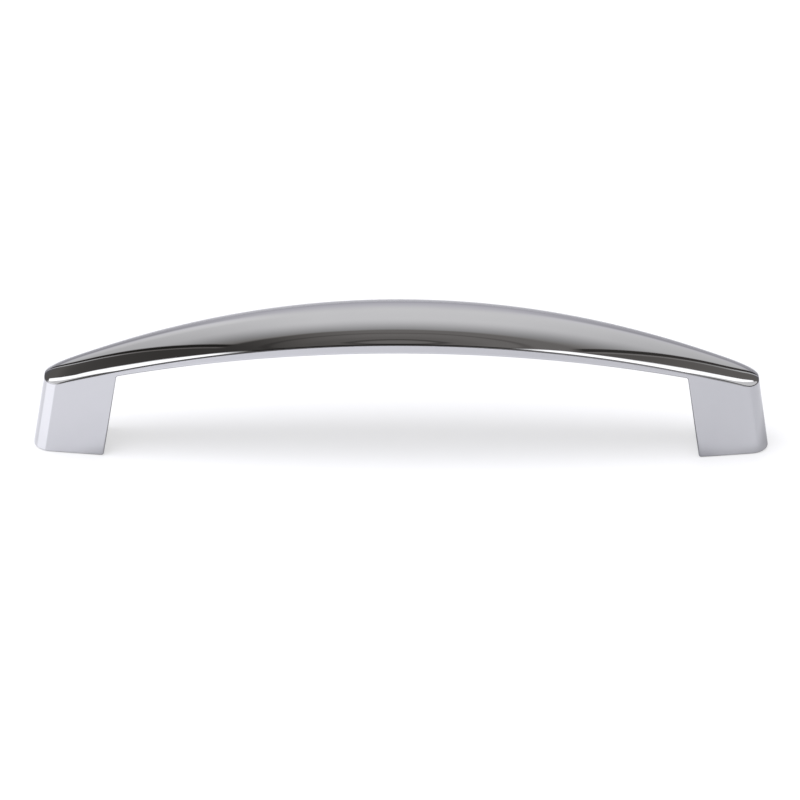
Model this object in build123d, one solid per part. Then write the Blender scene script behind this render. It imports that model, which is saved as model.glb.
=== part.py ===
from build123d import *
import os
from math import radians, sqrt, tan

os.makedirs("parts", exist_ok=True)

# Bow handle for drawers and cupboard doors, cast in one piece and chrome plated.
# X runs along the handle, the front is -Y, and Z = 0 is the mounting plane under both feet.
# Sizes in millimetres, angles in degrees.

# Fixing: a blind tapped hole in the middle of each foot
hole_spacing = 128.0
tap_radius = 1.65
thread_depth = 8.5
mouth_chamfer = 0.55
drill_point_angle = 118.0

# Feet: inner and outer faces lean outwards towards the mounting plane
foot_length = 13.6
foot_lean = 9.0
inner_corner_radius = 0.6

# Plan: two long arcs that narrow the handle towards its rounded ends
middle_width = 18.0
end_width = 7.1
end_roundness = 0.535

# Elevation: ridge, top edges and underside are arcs of their own
ridge_height = 28.8
ridge_end_height = 14.7
crown_rise_middle = 2.2
crown_rise_end = 1.57
rim_middle = 2.0
rim_at_feet = 1.1

# Tips: over this length the crown flattens and the ridge turns down to the end
tip_length = 11.4
tip_lift = 0.44
tip_drop = 0.8

# Softened edges, as shares of the rim at its thinnest
top_edge_share = 0.35
lower_edge_share = 0.4

# Extra reach of the blank and of the bodies that cut it
blank_margin = 4.0
cut_margin = 0.5
bow_sections = 4
tip_sections = 5

overall_length = hole_spacing + foot_length
half_length = overall_length / 2
foot_inner = half_length - foot_length
half_middle = middle_width / 2
half_end = end_width / 2
end_corner_radius = end_roundness * end_width
top_edge_rounding = top_edge_share * rim_at_feet
lower_edge_rounding = lower_edge_share * rim_at_feet
blank_height = ridge_height + blank_margin
blank_lean = blank_height * tan(radians(foot_lean))
top_end = half_length - ridge_end_height * tan(radians(foot_lean))
tip_start = top_end - tip_length


def arc_radius(half_chord, rise):
    """Radius of the arc with this rise over this half chord."""
    return (half_chord**2 + rise**2) / (2 * rise)


def arc_drop(radius, distance):
    """How far an arc has fallen at this distance from its crest."""
    return radius - sqrt(radius**2 - distance**2)


# Long arcs of the handle
edge_height = ridge_height - crown_rise_middle
edge_end_height = ridge_end_height - crown_rise_end
side_radius = arc_radius(half_length, half_middle - half_end)
ridge_radius = arc_radius(half_length, ridge_height - ridge_end_height)
edge_radius = arc_radius(half_length, edge_height - edge_end_height)
finger_height = edge_height - rim_middle
finger_height_at_feet = edge_height - arc_drop(edge_radius, foot_inner) - rim_at_feet
underside_radius = arc_radius(foot_inner, finger_height - finger_height_at_feet)


def crown_section(x):
    """Space above the crowned top at station x, bounded below by the arc from edge to ridge to edge."""
    tip_share = max(0, abs(x) - tip_start) / tip_length
    turn_down = tip_drop * tip_share**6
    half_width = half_middle - arc_drop(side_radius, x)
    ridge = ridge_height - arc_drop(ridge_radius, x) - turn_down
    edge = edge_height - arc_drop(edge_radius, x) - turn_down + tip_lift * tip_share**2
    crown_radius = arc_radius(half_width, ridge - edge)
    reach = half_width + cut_margin
    low = ridge - arc_drop(crown_radius, reach)
    top = blank_height + cut_margin
    crown_arc = ThreePointArc((-reach, low), (0, ridge), (reach, low))
    roof = Polyline((reach, low), (reach, top), (-reach, top), (-reach, low))
    station = Plane(origin=(x, 0, 0), x_dir=(0, 1, 0), z_dir=(1, 0, 0))
    return station * make_face([crown_arc, roof])


# Elevation of the blank, with the finger opening under the bow
outer_outline = Polygon(
    (-half_length, 0),
    (half_length, 0),
    (half_length - blank_lean, blank_height),
    (-half_length + blank_lean, blank_height),
    align=None,
)
between_feet = Polygon(
    (-foot_inner, 0),
    (foot_inner, 0),
    (foot_inner - blank_lean, blank_height),
    (-foot_inner + blank_lean, blank_height),
    align=None,
)
under_bow = Pos(0, finger_height - underside_radius) * Circle(underside_radius)
finger_opening = between_feet & under_bow
finger_opening = fillet(finger_opening.vertices().group_by(Axis.Y)[-1], inner_corner_radius)
side_view = outer_outline - finger_opening
body = extrude(Plane.XZ * side_view, amount=middle_width, both=True)

# Plan outline, the lens shape common to two discs
front_arc = Pos(0, side_radius - half_middle) * Circle(side_radius)
back_arc = Pos(0, half_middle - side_radius) * Circle(side_radius)
body &= extrude(front_arc & back_arc, amount=blank_height)

# Rounded ends
end_edges = [edge for edge in body.edges() if edge.bounding_box().max.Z > blank_height - cut_margin]
end_edges = [edge for edge in end_edges if edge.bounding_box().min.Z < cut_margin]
body = fillet(end_edges, end_corner_radius)

# Softened edges of the feet and of the finger opening
low_faces = ShapeList(face for face in body.faces() if face.bounding_box().max.Z < edge_height)
opening_seams = low_faces.edges().filter_by(Axis.Y).filter_by_position(Axis.Z, inner_corner_radius, edge_height)
body = fillet(set(low_faces.edges()) - set(opening_seams), lower_edge_rounding)

# Crowned top with a finely softened rim
last_station = top_end + 2 * cut_margin
bow_stations = [tip_start * i / bow_sections for i in range(bow_sections)]
tip_pitch = (last_station - tip_start) / tip_sections
tip_stations = [tip_start + i * tip_pitch for i in range(tip_sections + 1)]
right_stations = bow_stations + tip_stations
left_stations = [-x for x in right_stations[:0:-1]]
body -= loft([crown_section(x) for x in left_stations + right_stations])
crown_face = body.faces().sort_by(Axis.Z)[-1]
body = fillet(crown_face.edges(), top_edge_rounding)

# Blind tapped holes for the fixing screws, with a chamfered mouth and a drill point
drill_point = tap_radius / tan(radians(drill_point_angle / 2))
hole_profile = Polygon(
    (0, 0),
    (tap_radius + mouth_chamfer, 0),
    (tap_radius, mouth_chamfer),
    (tap_radius, thread_depth),
    (0, thread_depth + drill_point),
    align=None,
)
screw_hole = revolve(Plane.XZ * hole_profile, Axis.Z)
for side in (-1, 1):
    body -= Pos(side * hole_spacing / 2, 0, 0) * screw_hole

export_step(body, "parts/handle.step")
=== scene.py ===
import math
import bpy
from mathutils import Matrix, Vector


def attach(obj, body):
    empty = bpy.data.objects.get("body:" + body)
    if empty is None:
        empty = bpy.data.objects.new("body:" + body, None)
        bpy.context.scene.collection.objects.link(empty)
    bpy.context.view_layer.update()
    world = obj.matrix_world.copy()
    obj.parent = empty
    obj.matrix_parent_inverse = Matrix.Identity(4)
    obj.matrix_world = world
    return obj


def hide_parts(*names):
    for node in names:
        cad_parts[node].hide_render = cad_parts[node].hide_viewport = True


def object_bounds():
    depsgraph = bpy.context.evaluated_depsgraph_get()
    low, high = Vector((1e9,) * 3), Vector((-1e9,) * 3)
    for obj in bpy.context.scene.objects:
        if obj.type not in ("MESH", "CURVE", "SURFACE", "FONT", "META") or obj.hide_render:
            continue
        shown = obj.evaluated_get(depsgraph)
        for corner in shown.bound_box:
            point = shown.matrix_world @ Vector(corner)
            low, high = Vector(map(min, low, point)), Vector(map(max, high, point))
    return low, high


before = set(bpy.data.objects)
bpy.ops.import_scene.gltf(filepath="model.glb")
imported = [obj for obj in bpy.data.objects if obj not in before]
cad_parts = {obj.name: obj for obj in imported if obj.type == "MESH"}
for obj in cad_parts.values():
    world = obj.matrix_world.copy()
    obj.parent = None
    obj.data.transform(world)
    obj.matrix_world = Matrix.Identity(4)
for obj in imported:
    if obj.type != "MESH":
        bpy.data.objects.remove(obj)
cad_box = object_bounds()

from types import SimpleNamespace

import bmesh
import bpy
import numpy as np
from mathutils import Matrix, Vector

# Chrome bow handle in a plain studio.
# X runs along the handle, the front is -Y, and Z = 0 is the mounting plane under both feet.

# Driving sizes of the handle in millimetres, the same as those of its solid
MM = 0.001
HOLE_SPACING = 128.0
TAP_RADIUS = 1.65
THREAD_DEPTH = 8.5
MOUTH_CHAMFER = 0.55
DRILL_POINT_ANGLE = math.radians(118.0)
FOOT_LENGTH = 13.6
FOOT_LEAN = math.radians(9.0)
INNER_CORNER_RADIUS = 0.6
MIDDLE_WIDTH = 18.0
END_WIDTH = 7.1
END_ROUNDNESS = 0.535
RIDGE_HEIGHT = 28.8
RIDGE_END_HEIGHT = 14.7
CROWN_RISE_MIDDLE = 2.2
CROWN_RISE_END = 1.57
RIM_MIDDLE = 2.0
RIM_AT_FEET = 1.1
TIP_LENGTH = 11.4
TIP_LIFT = 0.44
TIP_DROP = 0.8
TOP_EDGE_SHARE = 0.35
LOWER_EDGE_SHARE = 0.4

# Screw thread, M4 coarse: its groove has straight flanks, and fades in and out over whole turns
THREAD_PITCH = 0.7
THREAD_GROOVE = 0.35
FLANK_SLOPE = 1.6
CREST_SHARE = 0.2
RUN_IN_TURNS = 1
RUN_OUT_TURNS = 2
DRILL_TIP_RADIUS = 0.02

# Mesh density, in intervals
BOW_STATIONS = 84
FOOT_STATIONS = 16
CORNER_STATIONS = 16
ACROSS_TOP = 14
ACROSS_UNDERSIDE = 7
RIM_STEPS = 6
INNER_CORNER_STEPS = 8
INNER_FACE_STEPS = 8
THREAD_STEPS = 10
LOWER_EDGE_STEPS = 5
SOLE_RINGS = (0.0, 0.34, 0.67, 1.0)

# Building of the mesh, lengths in millimetres: the strip beside the opening is a share of its rounding
EDGE_STRIP_SHARE = 1.25
SETTLING_ROUNDS = 30
SLOPE_STEP = 1e-4
WELD = 0.001
BEVEL_ANGLE = math.radians(45.0)
SHARP_ANGLE = math.radians(35.0)
FACING_DOWN = -0.999
SOLE_HEIGHT = 0.01
AREA_WEIGHT = 100
POLISHED, PLAIN, TAPPED = range(3)

# Metal: how fine each noise is, and between which of its values the haze and the marks set in
HAZE_DETAIL = 3.0
HAZE_RAMP = (0.3, 0.7)
MARK_DETAIL = 2.0
MARK_RAMP = (0.5, 0.9)
WAVE_DETAIL = 1.0

# Studio, drawn by the direction of a ray from the handle: x to the right, y to the back, z up
# A ramp is (start, end, value at the start, value at the end), and goes from 0 to 1 where it has no values
# A window is (low, high, softness of both ends)

# Panel behind: its places are ratios of x to the depth, its heights are elevations in degrees
PANEL_TILT = math.radians(26.0)
LEAST_DEPTH = 0.05
BEHIND = (0.0, 0.1)
PANEL_LEFT = -0.425
PANEL_RIGHT = 0.531
PANEL_SOFTNESS = 0.012
PANEL_TOP = (42.0, 75.0, 0.88, 0.1)
PANEL_LEFT_FADE = (-0.42, -0.05, 0.74, 1.0)
PANEL_RIGHT_FADE = (0.05, 0.55, 1.0, 0.78)
FOOT_IN_MIDDLE = (-2.0, 26.0, 0.66, 1.0)
FOOT_AT_SIDES = (6.0, 15.0, 0.55, 1.0)
MIDDLE_TO_SIDES = (5.0, 12.0)
LEFT_FOOT_GAIN = (-12.0, -5.0, 0.13, 0.0)
LEFT_FOOT_HEIGHT = (12.0, 24.0, 4.0)

# Dark room, and the stand of the panel as a dark line and a gleam at each side of it
ROOM_LEFT = (0.45, 1.05, 0.055, 0.13)
ROOM_RIGHT = (0.45, 0.75, 0.12, 0.16)
LEFT_TO_RIGHT = (-0.42, 0.42)
LEFT_STAND = (PANEL_LEFT - 0.065, PANEL_LEFT, 0.01)
RIGHT_STAND = (PANEL_RIGHT, PANEL_RIGHT + 0.085, 0.01)
STAND_LEVEL = 0.35
LEFT_GLEAM = (PANEL_LEFT - 0.085, PANEL_LEFT - 0.06, 0.008)
RIGHT_GLEAM = (PANEL_RIGHT + 0.09, PANEL_RIGHT + 0.13, 0.012)
GLEAM_LEVEL = (30.0, 52.0, 0.6, 0.12)

# Round hood overhead: its places are degrees from its axis
HOOD_ELEVATION = math.radians(82.0)
NEARLY_ONE = 0.99999
HOOD_EDGE = (18.8, 21.2, 1.0, 0.0)
HOOD_LEVEL = (-0.33, -0.02, 0.05, 0.2)
HOOD_RING = (4.5, 9.5, 2.0)
RING_DEPTH = 0.03
OUTER_LINE = (14.0, 15.2, 0.5)
OUTER_LINE_DEPTH = 0.3
INNER_LINE = (4.4, 6.0, 0.7)
INNER_LINE_DEPTH = 0.5
FRONT_TO_BACK = (-0.03, 0.075, 0.05, 1.0)

# Front of the room: a dim glow and a narrow strip light, heights are elevations in degrees
FRONT_START = (-0.35, -0.6, 0.0, 1.0)
FRONT_TOP = (18.0, 48.0, 0.2, 0.0)
FRONT_FOOT = (-2.0, 18.0, 0.4, 1.0)
FRONT_SIDES = (0.05, 0.5, 0.55, 1.0)
FRONT_RIGHT_GAIN = (0.05, 0.5, 0.0, 1.6)
STRIP_HEIGHT = (38.0, 43.0, 1.5)
STRIP_SIDES = (0.05, 0.3, 0.3, 1.0)
STRIP_LEVEL = 0.7

# Softbox over each end: its places are ratios of x and y to the height
LEAST_HEIGHT = 0.02
LEFT_OR_RIGHT = (-0.05, 0.05)
SOFTBOX_LEVEL = 1.85
SOFTBOX_LEFT = (-1.4, -0.34, 0.05)
SOFTBOX_RIGHT = (0.265, 1.4, 0.05)
SOFTBOX_FRONT = -0.15
SOFTBOX_BACK = 0.13
SOFTBOX_CORNER = 0.69
SOFTBOX_SLOPE = 1.28
SOFTBOX_SOFTNESS = 0.03
BACK_START_LEFT = (0.22, 0.52, 0.04, 0.14)
BACK_START_RIGHT = (0.2, 0.36, 0.03, 0.14)

# Greyer reflector at the outer front corner of each softbox, with its slope at the left and at the right
REFLECTOR_LEVEL = 0.85
REFLECTOR_CORNER = 0.77
REFLECTOR_SLOPES = (1.2, 1.47)
REFLECTOR_REACH = (0.7, 1.9, 0.03)

# Low softbox at the left: azimuths from the back, and elevations, in degrees
LOW_BOX_LEVEL = 1.3
LOW_BOX_SIDES = (-132.0, -73.0, 4.0)
LOW_BOX_HEIGHT = (6.0, 33.0, 3.0)

# Below the horizon, and the tints of the light: warm where it is dark, cool low down
HORIZON = (-2.0, 4.0)
BELOW_LEVEL = (-0.3, 0.3, 0.05, 0.5)
DARK_TO_LIGHT = (0.1, 0.45)
DARK_TINT = (1.06, 1.0, 0.95)
LIGHT_TINT = (1.0, 0.995, 1.0)
LOW_TINT = (0.97, 0.955, 1.04)
LOW_TINT_FADE = (2.0, 24.0, 1.0, 0.0)
WHITE = (1.0, 1.0, 1.0)

# Floor in metres, with the share of plain white that the camera sees in it
FLOOR_RADIUS = 0.5
FLOOR_SEGMENTS = 128
FLOOR_COLOUR = (0.86, 0.865, 0.92)
FLOOR_ROUGHNESS = 0.15
FLOOR_WHITE_SHARE = 0.6

# Floor as the metal mirrors it, with painted light and shade: painted falloff of light from left to right
# and towards the back and the front, a paler wedge of painted light at the left foot, a painted shade spot
# by the right end, and painted shadow beside the feet
PAINTED_LIGHT_ACROSS = (-0.03, 0.075, 0.93, 0.795)
PAINTED_FALLOFF_BACK = (0.02, 0.12, 1.0, 0.5)
PAINTED_FALLOFF_FRONT = (-0.25, -0.06, 0.1, 1.0)
PAINTED_FALLOFF_NEAR = (-0.055, -0.033, 0.93, 1.0)
PAINTED_LIGHT_WEDGE_APEX = (-0.068, -0.0032)
PAINTED_LIGHT_WEDGE_SIDES = (45.0, 111.0, 5.0)
PAINTED_LIGHT_WEDGE_LEVEL = 1.25
PAINTED_SHADE_SPOT = (0.0725, 0.006, 0.0)
PAINTED_SHADE_SPOT_FADE = (0.004, 0.015, 0.72, 1.0)
PAINTED_FOOT_SHADOW_X = (0.04, 0.058, 0.006)
PAINTED_FOOT_SHADOW_Y = (-0.008, 0.03, 0.006)
PAINTED_FOOT_SHADOW_LEVEL = 0.35

# Lamp over the floor, in metres and watts
LAMP_SIZE = 1.0
LAMP_POWER = 28.0
LAMP_PLACE = (-0.3, -0.2, 1.5)

# Camera at the photograph's viewing angle: it sees the target at its pixel, lengths in metres
CAMERA_DISTANCE = 1.0
CAMERA_ELEVATION = math.radians(30.0)
CAMERA_AZIMUTH = math.radians(-0.8)
CAMERA_ROLL = math.radians(-0.6)
PIXELS_PER_METRE = 5218.8
IMAGE_WIDTH = 800
TARGET = Vector((0, 0, 0.014))
TARGET_PIXEL = (401.9, 379.4)
SENSOR_WIDTH = 36
NEAREST_SEEN = 0.01

half_length = (HOLE_SPACING + FOOT_LENGTH) / 2
foot_inner = half_length - FOOT_LENGTH
half_middle = MIDDLE_WIDTH / 2
corner_radius = END_ROUNDNESS * END_WIDTH
lean = math.tan(FOOT_LEAN)
tip_start = half_length - RIDGE_END_HEIGHT * lean - TIP_LENGTH
top_edge_rounding = TOP_EDGE_SHARE * RIM_AT_FEET
lower_edge_rounding = LOWER_EDGE_SHARE * RIM_AT_FEET
edge_strip = EDGE_STRIP_SHARE * lower_edge_rounding


def arc_radius(half_chord, rise):
    """Radius of the arc with this rise over this half chord."""
    return (half_chord**2 + rise**2) / (2 * rise)


def arc_drop(radius, distance):
    """How far an arc has fallen at this distance from its crest."""
    return radius - np.sqrt(radius**2 - np.square(distance))


# Long arcs of the handle
edge_height = RIDGE_HEIGHT - CROWN_RISE_MIDDLE
side_radius = arc_radius(half_length, half_middle - END_WIDTH / 2)
ridge_radius = arc_radius(half_length, RIDGE_HEIGHT - RIDGE_END_HEIGHT)
edge_radius = arc_radius(half_length, edge_height - RIDGE_END_HEIGHT + CROWN_RISE_END)
finger_height = edge_height - RIM_MIDDLE
finger_drop = RIM_AT_FEET - RIM_MIDDLE + arc_drop(edge_radius, foot_inner)
underside_radius = arc_radius(foot_inner, finger_drop)
underside_centre_z = finger_height - underside_radius

# Stations as shares: along the foot, round its corner, and from the side in to the middle line
foot_shares = np.linspace(0, 1, FOOT_STATIONS + 1)
corner_shares = np.linspace(0, 1, CORNER_STATIONS + 1)[1:]
across_shares = np.linspace(1, 0, ACROSS_TOP + 1)


def half_width(x):
    """Half the handle's width at station x."""
    return half_middle - arc_drop(side_radius, x)


def tip_share(x):
    """How far station x is into the tip: 0 at its start and 1 at its end."""
    return np.maximum(0, x - tip_start) / TIP_LENGTH


def ridge_z(x):
    """Height of the ridge at station x."""
    return RIDGE_HEIGHT - arc_drop(ridge_radius, x) - TIP_DROP * tip_share(x) ** 6


def edge_z(x):
    """Height of the top edges at station x."""
    tip = tip_share(x)
    return edge_height - arc_drop(edge_radius, x) - TIP_DROP * tip**6 + TIP_LIFT * tip**2


def top_z(x, y):
    """Height of the crowned top."""
    crown = arc_radius(half_width(x), ridge_z(x) - edge_z(x))
    return ridge_z(x) - arc_drop(crown, y)


def underside_z(x):
    """Height of the underside of the bow."""
    return finger_height - arc_drop(underside_radius, x)


def end_x(z):
    """Where the leaning end of the handle is at height z."""
    return half_length - z * lean


def corner_centre(z):
    """Centre of the rounding between the front wall and the end, at height z."""
    x = end_x(z) - corner_radius
    y = side_radius - half_middle - np.sqrt((side_radius - corner_radius) ** 2 - np.square(x))
    return x, y


def corner_direction(share, z):
    """Outward direction of the front corner in plan: share 0 is on the front wall and 1 on the end."""
    x, _ = corner_centre(z)
    angle = np.arccos(x / (side_radius - corner_radius)) * (1 - share)
    return np.stack([np.cos(angle), -np.sin(angle)], -1)


def corner_point(share, z):
    """Point of the front corner at height z: share 0 is on the front wall and 1 on the end."""
    x, y = corner_centre(z)
    direction = corner_direction(share, z)
    point_x = x + corner_radius * direction[..., 0]
    point_y = y + corner_radius * direction[..., 1]
    return np.stack([point_x, point_y, z + 0 * x], -1)


def end_point(share, z):
    """Point of the end at height z: share 1 is where the corner stops and 0 on the middle line."""
    _, y = corner_centre(z)
    return np.stack([end_x(z), y * share, z], -1)


def front_point(x, z):
    """Point of the front wall at station x and height z."""
    return np.stack([x, -half_width(x), z], -1)


def unit(vectors):
    """The same directions with length 1."""
    return vectors / np.linalg.norm(vectors, axis=1, keepdims=True)


def inner_profile():
    """Line round the inner corner and down the inner face, and the line beside it, as x and z."""
    radius = INNER_CORNER_RADIUS
    x = foot_inner
    z = underside_z(foot_inner)
    for _ in range(SETTLING_ROUNDS):
        x = foot_inner - (radius + z * math.sin(FOOT_LEAN)) / math.cos(FOOT_LEAN)
        z = underside_centre_z + math.sqrt((underside_radius - radius) ** 2 - x**2)
    first = math.atan2(z - underside_centre_z, x)
    turn = np.linspace(first, FOOT_LEAN, INNER_CORNER_STEPS + 1)
    outward = np.stack([np.cos(turn), np.sin(turn)], -1)
    corner = np.array([x, z]) + radius * outward
    down = np.linspace(0, 1, INNER_FACE_STEPS + 1)[1:, None]
    face = corner[-1] + down * (np.array([foot_inner, 0.0]) - corner[-1])
    beside_corner = corner + edge_strip * outward
    beside_face = face + np.array([edge_strip / math.cos(FOOT_LEAN), 0.0])
    return np.concatenate([corner, face]), np.concatenate([beside_corner, beside_face])


def wall_stations(bow_x):
    """Top edge along the bow and the foot: points, and directions outward in plan and up the wall."""
    last_bow_x = bow_x[-1]
    foot_x = last_bow_x + foot_shares[1:]
    for _ in range(SETTLING_ROUNDS):
        corner_x = corner_point(0, edge_z(foot_x) - top_edge_rounding / 2)[:, 0]
        foot_x = last_bow_x + foot_shares[1:] * (corner_x - last_bow_x)
    x = np.concatenate([bow_x, foot_x])
    outward = np.stack([x, -half_width(x) - side_radius + half_middle], -1) / side_radius
    up = np.tile([0.0, 0.0, 1.0], (len(x), 1))
    return front_point(x, edge_z(x)), outward, up


def corner_stations(first_z):
    """Top edge round the corner: points, and directions outward in plan and up the wall."""
    z = np.full(CORNER_STATIONS, first_z)
    for _ in range(SETTLING_ROUNDS):
        points = corner_point(corner_shares, z)
        z = top_z(points[:, 0], points[:, 1])
    up = corner_point(corner_shares, z + 1) - corner_point(corner_shares, z)
    return points, corner_direction(corner_shares, z), up


def end_stations(first_z):
    """Top edge across the end: points, and directions outward in plan and up the wall."""
    z = np.full(ACROSS_TOP, first_z)
    for _ in range(SETTLING_ROUNDS):
        points = end_point(across_shares[1:], z)
        z = top_z(points[:, 0], points[:, 1])
    outward = np.tile([1.0, 0.0], (ACROSS_TOP, 1))
    up = np.tile([-lean, 0.0, 1.0], (ACROSS_TOP, 1))
    return points, outward, up


def rim_arc(edge, outward, up):
    """Rounding of the top edge at each station, as points from the wall to the crown."""
    inward = np.concatenate([-outward, np.zeros((len(edge), 1))], 1)
    ahead = edge + SLOPE_STEP * inward
    inward[:, 2] = (top_z(ahead[:, 0], ahead[:, 1]) - top_z(edge[:, 0], edge[:, 1])) / SLOPE_STEP
    inward = unit(inward)
    down = -up
    half_angle = np.arccos((inward * down).sum(1, keepdims=True)) / 2
    reach = top_edge_rounding / np.tan(half_angle)
    centre = edge + unit(inward + down) * top_edge_rounding / np.sin(half_angle)
    first = (edge + down * reach - centre) / top_edge_rounding
    last = (edge + inward * reach - centre) / top_edge_rounding
    sweep = np.arccos((first * last).sum(1, keepdims=True))
    rows = []
    for share in np.linspace(0, 1, RIM_STEPS + 1):
        from_first = np.sin((1 - share) * sweep) * first
        direction = (from_first + np.sin(share * sweep) * last) / np.sin(sweep)
        rows.append(centre + top_edge_rounding * direction)
    return np.stack(rows, 1)


def rim_grid(bow_x):
    """Rounded rim of the quarter: along the bow and the foot, round the corner and across the end."""
    wall = wall_stations(bow_x)
    first_z = wall[0][-1, 2]
    parts = zip(wall, corner_stations(first_z), end_stations(first_z))
    points, outward, up = [np.concatenate(part) for part in parts]
    return rim_arc(points, outward, unit(up))


def crown_grid(rim):
    """Crowned top, inside the rounded rim."""
    front = rim[:-ACROSS_TOP, -1]
    x = np.repeat(front[:, :1], ACROSS_TOP + 1, 1)
    y = front[:, 1:2] * across_shares
    crown = np.stack([x, y, top_z(x, y)], -1)
    crown[:, 0] = front
    crown[-1, 1:] = rim[-ACROSS_TOP:, -1]
    return crown


def foot_wall_grid(foot_top, last_bow_x, beside):
    """Wall of the foot from the bow round to the end: each row keeps its share of the height."""
    inner_x = np.concatenate([[last_bow_x], beside[:, 0]])
    inner_z = np.concatenate([[foot_top[0, 2]], beside[:, 1]])
    level = inner_z / inner_z[0]
    heights = iter(foot_top[:, 2])
    columns = []
    for share in foot_shares:
        z = level * next(heights)
        x = inner_x + share * (corner_point(0, z)[:, 0] - inner_x)
        columns.append(front_point(x, z))
    for share in corner_shares:
        columns.append(corner_point(share, level * next(heights)))
    for share in across_shares[1:]:
        columns.append(end_point(share, level * next(heights)))
    grid = np.stack(columns)
    grid[:, 0] = foot_top
    return grid


def underside_grid(opening):
    """Underside of the bow and inner face of the foot, from the front wall to the middle line."""
    x, z = opening.T
    shares = np.linspace(1, 0, ACROSS_UNDERSIDE + 1)
    y = -half_width(x)[:, None] * shares
    return np.stack(np.broadcast_arrays(x[:, None], y, z[:, None]), -1)


def sole_grid(outline):
    """Sole from its outline in to the mouth of the screw hole, and the angles of its spokes."""
    hole = np.array([HOLE_SPACING / 2, 0, 0])
    spoke = unit(outline - hole)
    mouth = hole + spoke * (TAP_RADIUS + MOUTH_CHAMFER)
    sole = np.stack([outline + share * (mouth - outline) for share in SOLE_RINGS], 1)
    return sole, np.arctan2(spoke[:, 1], spoke[:, 0])


def quarter_grids():
    """Grids of points of the quarter with x above 0 and y below 0, and the half ring of its screw hole."""
    profile, beside = inner_profile()
    bow_x = np.linspace(0, profile[0, 0], BOW_STATIONS + 1)
    rim = rim_grid(bow_x)
    wall_top = rim[:, 0]

    # Front wall of the bow, and an even strip of the wall along the finger opening
    bow_low = np.stack([bow_x, underside_z(bow_x)], -1)
    from_centre = bow_low - np.array([0, underside_centre_z])
    bow_beside = bow_low + edge_strip / underside_radius * from_centre
    bow_wall = np.stack([wall_top[: BOW_STATIONS + 1], front_point(*bow_beside.T)], 1)
    opening = np.concatenate([bow_low, profile[1:]])
    beside_opening = np.concatenate([bow_beside, beside[1:]])
    strip = np.stack([front_point(*beside_opening.T), front_point(*opening.T)], 1)

    foot_wall = foot_wall_grid(wall_top[BOW_STATIONS:], bow_x[-1], beside)
    under = underside_grid(opening)
    sole, half_ring = sole_grid(np.concatenate([under[-1, ::-1], foot_wall[:, -1]]))
    return [rim, crown_grid(rim), bow_wall, strip, foot_wall, under, sole], half_ring


def add_grid(mesh, points, material=POLISHED):
    """Adds a grid of quads with these points, in millimetres."""
    rows = [[mesh.verts.new(Vector(p) * MM) for p in row] for row in points]
    for a, b in zip(rows, rows[1:]):
        for i in range(len(a) - 1):
            face = mesh.faces.new((a[i], a[i + 1], b[i + 1], b[i]))
            face.material_index = material
    return rows


def weld(mesh):
    """Joins the grids where they meet, and turns all faces outwards."""
    bmesh.ops.remove_doubles(mesh, verts=mesh.verts, dist=WELD * MM)
    bmesh.ops.recalc_face_normals(mesh, faces=mesh.faces)


def turns_by(edge, angle):
    """Whether the surface turns by more than this angle at the edge."""
    return len(edge.link_faces) == 2 and edge.calc_face_angle() > angle


def soften_lower_edges(mesh):
    """Rounds the edges of the feet and of the finger opening, and gives the flat soles their plating."""
    bmesh.ops.bevel(
        mesh,
        geom=[edge for edge in mesh.edges if turns_by(edge, BEVEL_ANGLE)],
        offset=lower_edge_rounding * MM,
        offset_type="OFFSET",
        segments=LOWER_EDGE_STEPS,
        profile=0.5,
        affect="EDGES",
        clamp_overlap=False,
    )
    for face in mesh.faces:
        if face.normal.z < FACING_DOWN and face.calc_center_median().z < SOLE_HEIGHT * MM:
            face.material_index = PLAIN


def hole_rows(angles):
    """Wall of a tapped hole: chamfered mouth, thread and drill point, as rings of radius and height."""
    rows = [(np.full(len(angles), TAP_RADIUS + MOUTH_CHAMFER), 0.0)]
    count = int(THREAD_STEPS * (THREAD_DEPTH - MOUTH_CHAMFER) / THREAD_PITCH)
    for z in np.linspace(MOUTH_CHAMFER, THREAD_DEPTH, count):
        turn = (z / THREAD_PITCH - angles / (2 * math.pi)) % 1.0
        groove = np.clip(FLANK_SLOPE * (1 - np.abs(2 * turn - 1)) - CREST_SHARE, 0, 1)
        run_in = (z - MOUTH_CHAMFER) / (RUN_IN_TURNS * THREAD_PITCH)
        run_out = (THREAD_DEPTH - z) / (RUN_OUT_TURNS * THREAD_PITCH)
        rows.append((TAP_RADIUS + THREAD_GROOVE * groove * min(1.0, run_in, run_out), z))
    tip = THREAD_DEPTH + TAP_RADIUS / math.tan(DRILL_POINT_ANGLE / 2)
    rows.append((np.full(len(angles), DRILL_TIP_RADIUS), tip))
    return rows


def add_holes(mesh, half_ring):
    """Adds the tapped hole of each foot, on the ring of points round its mouth."""
    ring = np.concatenate([half_ring, -half_ring[-2:0:-1]])
    for mirror_x in (1, -1):
        angles = ring if mirror_x > 0 else math.pi - ring
        angles = np.append(angles, angles[0])
        centre = np.array([mirror_x * HOLE_SPACING / 2, 0, 0])
        rows = []
        for radius, z in hole_rows(angles):
            circle = np.stack([radius * np.cos(angles), radius * np.sin(angles), z + 0 * angles], -1)
            rows.append(circle + centre)
        added = add_grid(mesh, rows, material=TAPPED)
        mesh.faces.new(added[-1][:-1]).material_index = TAPPED


def keep_in_box(mesh):
    """Scales the mesh down to the solid's box where it reaches past it."""
    reach = [max(abs(vert.co[i]) for vert in mesh.verts) for i in range(3)]
    factors = [min(1.0, cad_box[1][i] / reach[i]) for i in range(3)]
    bmesh.ops.scale(mesh, vec=factors, verts=mesh.verts)


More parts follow.
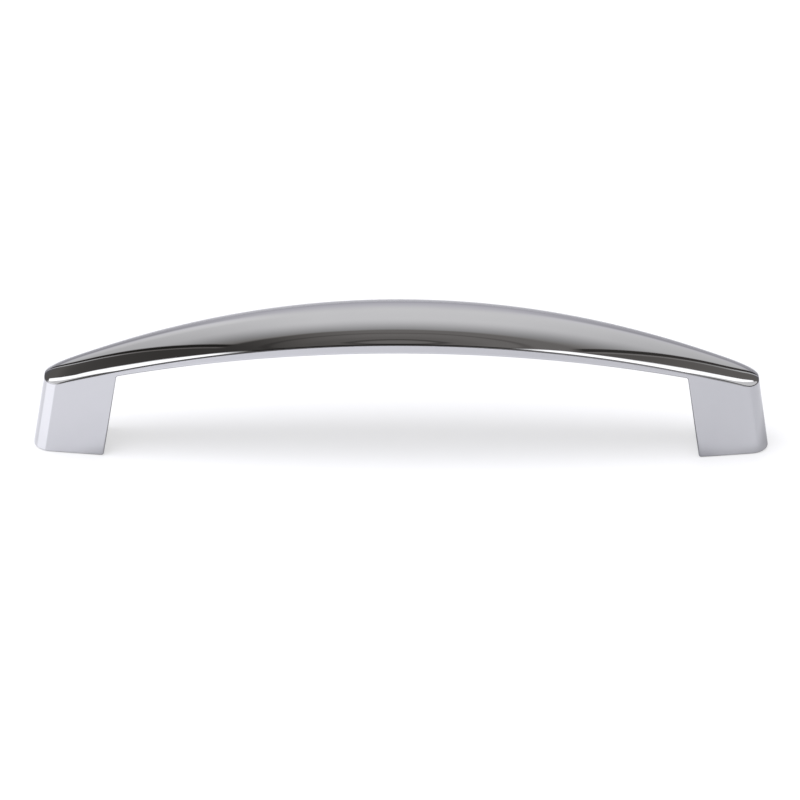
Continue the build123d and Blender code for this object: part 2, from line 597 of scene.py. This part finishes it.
def handle_mesh():
    """The whole handle as one closed mesh of quads, with softened lower edges and threaded holes."""
    grids, half_ring = quarter_grids()
    mesh = bmesh.new()
    for mirror_x in (1, -1):
        for mirror_y in (1, -1):
            for points in grids:
                add_grid(mesh, points * np.array([mirror_x, mirror_y, 1]))
    weld(mesh)
    soften_lower_edges(mesh)
    add_holes(mesh, half_ring)
    weld(mesh)
    keep_in_box(mesh)
    for face in mesh.faces:
        face.smooth = True
    for edge in mesh.edges:
        edge.smooth = not turns_by(edge, SHARP_ANGLE)
    data = bpy.data.meshes.new("handle_body")
    mesh.to_mesh(data)
    mesh.free()
    return data


class Nodes:
    """Short hand for building a node tree."""

    def __init__(self, tree):
        self.tree = tree

    def new(self, kind, **settings):
        """New node with these settings."""
        node = self.tree.nodes.new(kind)
        for key, value in settings.items():
            setattr(node, key, value)
        return node

    def link(self, value, socket):
        """Links an output to the socket, or sets the socket to a plain value."""
        if hasattr(value, "is_output"):
            self.tree.links.new(value, socket)
        else:
            socket.default_value = value

    def math(self, operation, *values):
        """Result of one operation on numbers."""
        node = self.new("ShaderNodeMath", operation=operation)
        for value, socket in zip(values, node.inputs):
            self.link(value, socket)
        return node.outputs[0]

    def product(self, *values):
        """Product of two or more numbers."""
        result = values[0]
        for value in values[1:]:
            result = self.math("MULTIPLY", result, value)
        return result

    def greatest(self, *values):
        """Greatest of two or more numbers."""
        result = values[0]
        for value in values[1:]:
            result = self.math("MAXIMUM", result, value)
        return result

    def blend(self, share, low, high):
        """Number that goes from low to high as share goes from 0 to 1."""
        rest = self.math("SUBTRACT", 1.0, share)
        return self.math("ADD", self.product(low, rest), self.product(high, share))

    def smooth(self, value, start, end, low=0.0, high=1.0):
        """Ramp with soft ends: low up to start, high from end on."""
        node = self.new("ShaderNodeMapRange", interpolation_type="SMOOTHSTEP")
        for part, socket in zip((value, start, end, low, high), node.inputs):
            self.link(part, socket)
        return node.outputs[0]

    def window(self, value, low, high, soft):
        """1 between low and high, with soft ends."""
        rise = self.smooth(value, low - soft, low + soft)
        fall = self.smooth(value, high - soft, high + soft, 1.0, 0.0)
        return self.product(rise, fall)

    def mix(self, share, first, second):
        """Colour between two colours."""
        node = self.new("ShaderNodeMix", data_type="RGBA")
        self.link(share, node.inputs["Factor"])
        for name, value in (("A", first), ("B", second)):
            socket = next(s for s in node.inputs if s.name == name and s.type == "RGBA")
            self.link(value if hasattr(value, "is_output") else (*value, 1.0), socket)
        return next(s for s in node.outputs if s.type == "RGBA")

    def noise(self, place, grain, detail):
        """Noise over the object, with its grain per metre along X, Y and Z."""
        scaled = self.new("ShaderNodeVectorMath", operation="MULTIPLY")
        self.link(place, scaled.inputs[0])
        self.link(grain, scaled.inputs[1])
        node = self.new("ShaderNodeTexNoise")
        self.link(scaled.outputs[0], node.inputs["Vector"])
        self.link(1.0, node.inputs["Scale"])
        self.link(detail, node.inputs["Detail"])
        return node.outputs["Fac"]

    def bump(self, height, distance, normal=None):
        """Normal of a surface raised by this height times the distance in metres."""
        node = self.new("ShaderNodeBump")
        self.link(height, node.inputs["Height"])
        self.link(distance, node.inputs["Distance"])
        if normal:
            self.link(normal, node.inputs["Normal"])
        return node.outputs["Normal"]


def metal(name, tints, roughness, haze_grain, wave_grain, wave_height, mark_grain, mark_height):
    """Metal of varying tint and roughness, with low waves and fine marks. Heights in metres."""
    material = bpy.data.materials.new(name)
    material.use_nodes = True
    n = Nodes(material.node_tree)
    shader = material.node_tree.nodes["Principled BSDF"]
    place = n.new("ShaderNodeTexCoord").outputs["Object"]
    haze = n.smooth(n.noise(place, (haze_grain,) * 3, HAZE_DETAIL), *HAZE_RAMP)
    marks = n.noise(place, mark_grain, MARK_DETAIL)
    waves = n.noise(place, wave_grain, WAVE_DETAIL)
    marks_roughness = n.smooth(marks, *MARK_RAMP, 0.0, roughness[0] / 2)
    n.link(n.mix(haze, *tints), shader.inputs["Base Color"])
    n.link(n.math("ADD", n.blend(haze, *roughness), marks_roughness), shader.inputs["Roughness"])
    n.link(1.0, shader.inputs["Metallic"])
    wavy = n.bump(waves, wave_height)
    n.link(n.bump(marks, mark_height, wavy), shader.inputs["Normal"])
    return material


def chrome_handle():
    """The handle with its three finishes, in the place of the solid."""
    polished = metal(
        "polished_chrome",
        tints=((0.605, 0.605, 0.617), (0.59, 0.59, 0.604)),
        roughness=(0.024, 0.045),
        haze_grain=70.0,
        wave_grain=(60.0, 140.0, 140.0),
        wave_height=2.2e-5,
        mark_grain=(60.0, 1600.0, 1600.0),
        mark_height=6e-7,
    )
    plain = metal(
        "plain_chrome",
        tints=((0.58, 0.58, 0.59), (0.5, 0.5, 0.51)),
        roughness=(0.22, 0.34),
        haze_grain=260.0,
        wave_grain=(500.0,) * 3,
        wave_height=4e-6,
        mark_grain=(2500.0,) * 3,
        mark_height=3e-6,
    )
    tapped = metal(
        "tapped_zinc",
        tints=((0.46, 0.46, 0.47), (0.4, 0.4, 0.405)),
        roughness=(0.34, 0.46),
        haze_grain=400.0,
        wave_grain=(600.0,) * 3,
        wave_height=3e-6,
        mark_grain=(1500.0, 1500.0, 9000.0),
        mark_height=2e-6,
    )
    handle = bpy.data.objects.new("handle_body", handle_mesh())
    bpy.context.scene.collection.objects.link(handle)
    for material in (polished, plain, tapped):
        handle.data.materials.append(material)
    weighting = handle.modifiers.new("weighted_normals", "WEIGHTED_NORMAL")
    weighting.mode = "FACE_AREA"
    weighting.weight = AREA_WEIGHT
    weighting.keep_sharp = True
    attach(handle, "root")
    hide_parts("handle")


def along(n, sky, elevation):
    """How far a direction points to the back at this elevation: 1 along it."""
    level_part = n.product(sky.y, math.cos(elevation))
    return n.math("ADD", level_part, n.product(sky.z, math.sin(elevation)))


def sky_directions(n):
    """Direction of a ray: its parts, its angles in degrees, and its places overhead and on the panel."""
    parts = n.new("ShaderNodeSeparateXYZ")
    n.link(n.new("ShaderNodeTexCoord").outputs["Generated"], parts.inputs[0])
    sky = SimpleNamespace()
    sky.x, sky.y, sky.z = parts.outputs
    sky.elevation = n.math("DEGREES", n.math("ARCSINE", sky.z))
    sky.azimuth = n.math("DEGREES", n.math("ARCTAN2", sky.x, sky.y))
    height = n.math("MAXIMUM", sky.z, LEAST_HEIGHT)
    sky.over_x = n.math("DIVIDE", sky.x, height)
    sky.over_y = n.math("DIVIDE", sky.y, height)
    sky.out_x = n.math("ABSOLUTE", sky.over_x)
    sky.to_side = n.math("ABSOLUTE", sky.x)
    sky.to_right = n.smooth(sky.x, *LEFT_OR_RIGHT)
    sky.behind = n.smooth(sky.y, *BEHIND)
    depth = n.math("MAXIMUM", along(n, sky, PANEL_TILT), LEAST_DEPTH)
    sky.across = n.math("DIVIDE", sky.x, depth)
    return sky


def panel_light(n, sky):
    """Light of the panel behind, which fades towards its top, its foot and its sides."""
    beside = n.smooth(n.math("ABSOLUTE", sky.azimuth), *MIDDLE_TO_SIDES)
    foot_in_middle = n.smooth(sky.elevation, *FOOT_IN_MIDDLE)
    foot_at_sides = n.smooth(sky.elevation, *FOOT_AT_SIDES)
    left_gain = n.smooth(sky.azimuth, *LEFT_FOOT_GAIN)
    left_gain = n.product(left_gain, n.window(sky.elevation, *LEFT_FOOT_HEIGHT))
    return n.product(
        n.smooth(sky.elevation, *PANEL_TOP),
        n.blend(beside, foot_in_middle, foot_at_sides),
        n.math("ADD", 1.0, left_gain),
        n.smooth(sky.across, *PANEL_LEFT_FADE),
        n.smooth(sky.across, *PANEL_RIGHT_FADE),
    )


def room_light(n, sky):
    """Light of the dark room, with the panel's stand as a dark line and a gleam at each side of it."""
    left = n.smooth(sky.out_x, *ROOM_LEFT)
    right = n.smooth(sky.out_x, *ROOM_RIGHT)
    room = n.blend(n.smooth(sky.x, *LEFT_TO_RIGHT), left, right)
    stand = n.greatest(n.window(sky.across, *LEFT_STAND), n.window(sky.across, *RIGHT_STAND))
    stand = n.blend(n.product(sky.behind, stand), 1.0, STAND_LEVEL)
    gleam = n.greatest(n.window(sky.across, *LEFT_GLEAM), n.window(sky.across, *RIGHT_GLEAM))
    gleam = n.product(sky.behind, gleam, n.smooth(sky.elevation, *GLEAM_LEVEL))
    return n.math("ADD", n.product(room, stand), gleam)


def under_hood(n, sky, light):
    """This light with the round hood overhead, which cuts off the panel's top, and dark to the front."""
    along_axis = n.math("MINIMUM", along(n, sky, HOOD_ELEVATION), NEARLY_ONE)
    from_axis = n.math("DEGREES", n.math("ARCCOSINE", along_axis))
    ring = n.product(n.window(from_axis, *HOOD_RING), RING_DEPTH)
    outer_line = n.product(n.window(from_axis, *OUTER_LINE), OUTER_LINE_DEPTH)
    inner_line = n.product(n.window(from_axis, *INNER_LINE), INNER_LINE_DEPTH)
    between_lines = n.math("SUBTRACT", 1.0, n.math("ADD", outer_line, inner_line))
    in_hood = n.math("SUBTRACT", n.smooth(sky.x, *HOOD_LEVEL), ring)
    in_hood = n.product(in_hood, between_lines)
    light = n.blend(n.smooth(from_axis, *HOOD_EDGE), light, in_hood)
    return n.product(light, n.smooth(sky.over_y, *FRONT_TO_BACK))


def front_light(n, sky):
    """Light of the front of the room: a dim glow that fades upwards, and a narrow strip across it."""
    sides = n.math("ADD", n.smooth(sky.to_side, *FRONT_SIDES), n.smooth(sky.x, *FRONT_RIGHT_GAIN))
    glow = n.product(n.smooth(sky.elevation, *FRONT_TOP), n.smooth(sky.elevation, *FRONT_FOOT), sides)
    strip = n.window(sky.elevation, *STRIP_HEIGHT)
    strip = n.product(strip, n.smooth(sky.to_side, *STRIP_SIDES), STRIP_LEVEL)
    return n.product(n.smooth(sky.y, *FRONT_START), n.math("ADD", glow, strip))


def softbox_light(n, sky):
    """Light of the softboxes over the ends, of their reflectors and of the low softbox at the left."""
    start_left = n.smooth(sky.out_x, *BACK_START_LEFT)
    start_right = n.smooth(sky.out_x, *BACK_START_RIGHT)
    slant = n.product(SOFTBOX_SLOPE, n.math("SUBTRACT", sky.out_x, SOFTBOX_CORNER))
    slant = n.math("ADD", SOFTBOX_BACK, slant)
    back = n.greatest(n.blend(sky.to_right, start_left, start_right), slant)
    slope = n.blend(sky.to_right, *REFLECTOR_SLOPES)
    front = n.product(slope, n.math("SUBTRACT", sky.out_x, REFLECTOR_CORNER))

    soft = SOFTBOX_SOFTNESS
    in_reflector = n.smooth(n.math("SUBTRACT", front, sky.over_y), -soft, soft)
    overhead = n.product(
        n.smooth(n.math("SUBTRACT", back, sky.over_y), -soft, soft),
        n.smooth(sky.over_y, SOFTBOX_FRONT - soft, SOFTBOX_FRONT + soft),
    )
    reach = n.window(sky.out_x, *REFLECTOR_REACH)
    reflector = n.product(overhead, in_reflector, reach, REFLECTOR_LEVEL)
    softbox = n.product(overhead, n.math("SUBTRACT", 1.0, in_reflector))
    left = n.product(softbox, n.window(sky.over_x, *SOFTBOX_LEFT))
    right = n.product(softbox, n.window(sky.over_x, *SOFTBOX_RIGHT))
    high = n.product(n.greatest(left, right), SOFTBOX_LEVEL)
    low = n.product(n.window(sky.azimuth, *LOW_BOX_SIDES), n.window(sky.elevation, *LOW_BOX_HEIGHT))
    return n.greatest(reflector, high, n.product(low, LOW_BOX_LEVEL))


def studio_world():
    """Dark room with a panel behind, a hood, softboxes and a dim front. The camera sees plain white."""
    world = bpy.data.worlds.new("studio")
    world.use_nodes = True
    world.node_tree.nodes.clear()
    n = Nodes(world.node_tree)
    sky = sky_directions(n)
    on_panel = n.window(sky.across, PANEL_LEFT, PANEL_RIGHT, PANEL_SOFTNESS)
    on_panel = n.product(sky.behind, on_panel)
    light = n.blend(on_panel, room_light(n, sky), panel_light(n, sky))
    light = n.math("ADD", under_hood(n, sky, light), front_light(n, sky))
    light = n.greatest(light, softbox_light(n, sky))
    above = n.smooth(sky.elevation, *HORIZON)
    light = n.blend(above, n.smooth(sky.y, *BELOW_LEVEL), light)
    tint = n.mix(n.smooth(light, *DARK_TO_LIGHT), DARK_TINT, LIGHT_TINT)
    tint = n.mix(n.smooth(sky.elevation, *LOW_TINT_FADE), tint, LOW_TINT)
    seen = n.new("ShaderNodeLightPath").outputs["Is Camera Ray"]
    background = n.new("ShaderNodeBackground")
    n.link(n.mix(seen, tint, WHITE), background.inputs["Color"])
    n.link(n.blend(seen, light, 1.0), background.inputs["Strength"])
    output = n.new("ShaderNodeOutputWorld")
    n.link(background.outputs[0], output.inputs[0])
    bpy.context.scene.world = world


def painted_floor_light(n):
    """Painted light and shade on the floor, as a level of its colour where the metal mirrors it."""
    on_floor = n.new("ShaderNodeTexCoord").outputs["Object"]
    place = n.new("ShaderNodeSeparateXYZ")
    n.link(on_floor, place.inputs[0])
    x, y, _ = place.outputs
    # Painted shade: a darker spot on the floor by the right end of the handle
    from_shade_spot = n.new("ShaderNodeVectorMath", operation="DISTANCE")
    n.link(on_floor, from_shade_spot.inputs[0])
    n.link(PAINTED_SHADE_SPOT, from_shade_spot.inputs[1])
    shade_spot = n.smooth(from_shade_spot.outputs["Value"], *PAINTED_SHADE_SPOT_FADE)
    # Painted light: a paler wedge on the floor, fanning out to the left from the left foot's front corner
    to_apex_x = n.math("SUBTRACT", PAINTED_LIGHT_WEDGE_APEX[0], x)
    to_apex_y = n.math("SUBTRACT", PAINTED_LIGHT_WEDGE_APEX[1], y)
    turn = n.math("DEGREES", n.math("ARCTAN2", to_apex_x, to_apex_y))
    light_wedge = n.blend(n.window(turn, *PAINTED_LIGHT_WEDGE_SIDES), 1.0, PAINTED_LIGHT_WEDGE_LEVEL)
    # Painted falloff of light: paler at the left, darker towards the back and the front
    across = n.product(n.smooth(x, *PAINTED_LIGHT_ACROSS), light_wedge)
    back = n.product(n.smooth(y, *PAINTED_FALLOFF_BACK), n.smooth(y, *PAINTED_FALLOFF_FRONT), n.smooth(y, *PAINTED_FALLOFF_NEAR))
    # Painted shadow on the floor under the bow, beside the inner faces of the feet
    beside = n.product(n.window(n.math("ABSOLUTE", x), *PAINTED_FOOT_SHADOW_X), n.window(y, *PAINTED_FOOT_SHADOW_Y))
    return n.product(across, back, shade_spot, n.blend(beside, 1.0, PAINTED_FOOT_SHADOW_LEVEL))


def pale_floor():
    """Pale glossy material that the camera sees partly as plain white, and whose colour carries painted
    light and shade where the metal mirrors it.
    """
    material = bpy.data.materials.new("pale_floor")
    material.use_nodes = True
    n = Nodes(material.node_tree)
    shader = material.node_tree.nodes["Principled BSDF"]
    path = n.new("ShaderNodeLightPath")
    # Glossy rays see the floor's colour with its painted light and shade, other rays see it plain
    level = n.blend(path.outputs["Is Glossy Ray"], 1.0, painted_floor_light(n))
    colour = n.new("ShaderNodeVectorMath", operation="SCALE")
    n.link(FLOOR_COLOUR, colour.inputs[0])
    n.link(level, colour.inputs["Scale"])
    n.link(colour.outputs[0], shader.inputs["Base Color"])
    n.link(FLOOR_ROUGHNESS, shader.inputs["Roughness"])
    white = n.new("ShaderNodeEmission")
    n.link((*WHITE, 1.0), white.inputs["Color"])
    mix = n.new("ShaderNodeMixShader")
    n.link(n.product(path.outputs["Is Camera Ray"], FLOOR_WHITE_SHARE), mix.inputs[0])
    n.link(shader.outputs[0], mix.inputs[1])
    n.link(white.outputs[0], mix.inputs[2])
    n.link(mix.outputs[0], material.node_tree.nodes["Material Output"].inputs["Surface"])
    return material


def floor():
    """Round floor under the feet."""
    data = bpy.data.meshes.new("floor")
    mesh = bmesh.new()
    bmesh.ops.create_circle(mesh, cap_ends=True, radius=FLOOR_RADIUS, segments=FLOOR_SEGMENTS)
    mesh.to_mesh(data)
    mesh.free()
    data.materials.append(pale_floor())
    obj = bpy.data.objects.new("floor", data)
    bpy.context.scene.collection.objects.link(obj)


def floor_lamp():
    """Broad lamp that lights the floor from above and isn't mirrored in the metal."""
    data = bpy.data.lights.new("floor_lamp", "AREA")
    data.size = LAMP_SIZE
    data.energy = LAMP_POWER
    obj = bpy.data.objects.new("floor_lamp", data)
    bpy.context.scene.collection.objects.link(obj)
    obj.location = LAMP_PLACE
    obj.rotation_euler = Vector(LAMP_PLACE).to_track_quat("Z", "Y").to_euler()
    obj.visible_glossy = False
    obj.visible_camera = False


def camera():
    """Camera that sees the target at its pixel."""
    data = bpy.data.cameras.new("camera")
    data.sensor_width = SENSOR_WIDTH
    data.lens = PIXELS_PER_METRE * CAMERA_DISTANCE / IMAGE_WIDTH * SENSOR_WIDTH
    data.clip_start = NEAREST_SEEN
    obj = bpy.data.objects.new("camera", data)
    bpy.context.scene.collection.objects.link(obj)
    back_x = math.sin(CAMERA_AZIMUTH) * math.cos(CAMERA_ELEVATION)
    back_y = -math.cos(CAMERA_AZIMUTH) * math.cos(CAMERA_ELEVATION)
    back = Vector((back_x, back_y, math.sin(CAMERA_ELEVATION)))
    level = Vector((math.cos(CAMERA_AZIMUTH), math.sin(CAMERA_AZIMUTH), 0))
    roll = Matrix.Rotation(-CAMERA_ROLL, 3, back)
    right = roll @ level
    up = roll @ back.cross(level)
    aim = TARGET - right * ((TARGET_PIXEL[0] - IMAGE_WIDTH / 2) / PIXELS_PER_METRE)
    aim -= up * ((IMAGE_WIDTH / 2 - TARGET_PIXEL[1]) / PIXELS_PER_METRE)
    basis = Matrix((right, up, back)).transposed().to_4x4()
    obj.matrix_world = Matrix.Translation(aim + back * CAMERA_DISTANCE) @ basis
    bpy.context.scene.camera = obj


chrome_handle()
studio_world()
floor()
floor_lamp()
camera()
bpy.context.scene.view_settings.view_transform = "Standard"
